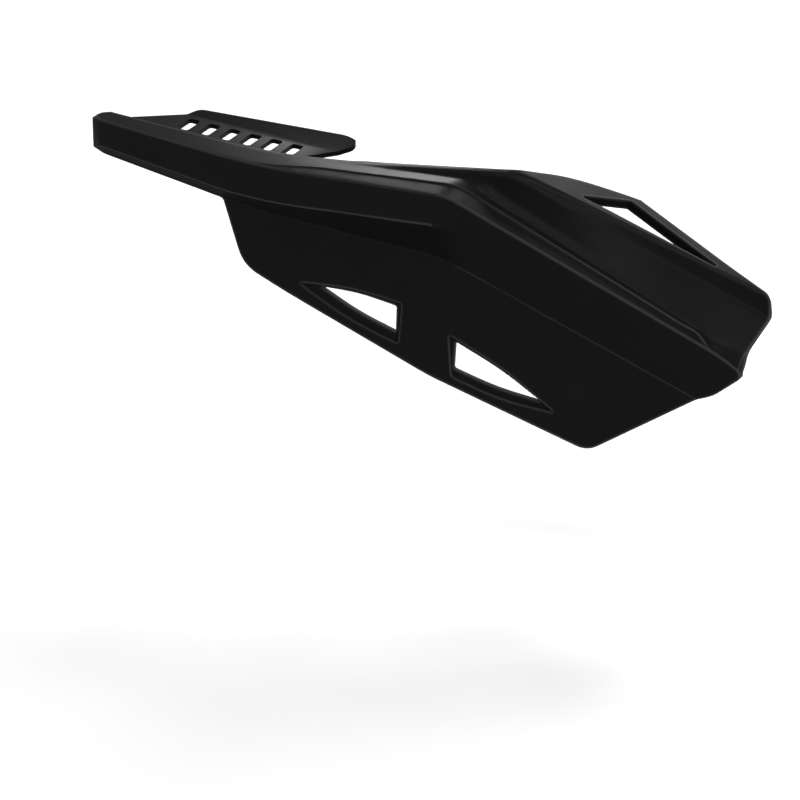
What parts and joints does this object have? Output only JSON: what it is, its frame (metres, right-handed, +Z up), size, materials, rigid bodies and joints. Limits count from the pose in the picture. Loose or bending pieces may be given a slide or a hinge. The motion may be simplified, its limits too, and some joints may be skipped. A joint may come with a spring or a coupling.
{
  "type": "motorcycle hand guard",
  "caption": "Angular moulded hand guard shell: hollow front beam with a slotted mounting flange, a folded lower shield with vent windows and a raised hood with a triangular opening.",
  "frame": {"origin": "middle of the slot row on the underside of the mounting flange", "axes": "+X outboard along the beam, +Y to the rear towards the rider's hand, +Z up, square to the flange"},
  "size_m": [0.2883, 0.0628, 0.1138],
  "materials": {
    "shell_plastic": "satin black moulded plastic"
  },
  "bodies": {
    "root": {"guard_shell": "shell_plastic"}
  },
  "joints": []
}
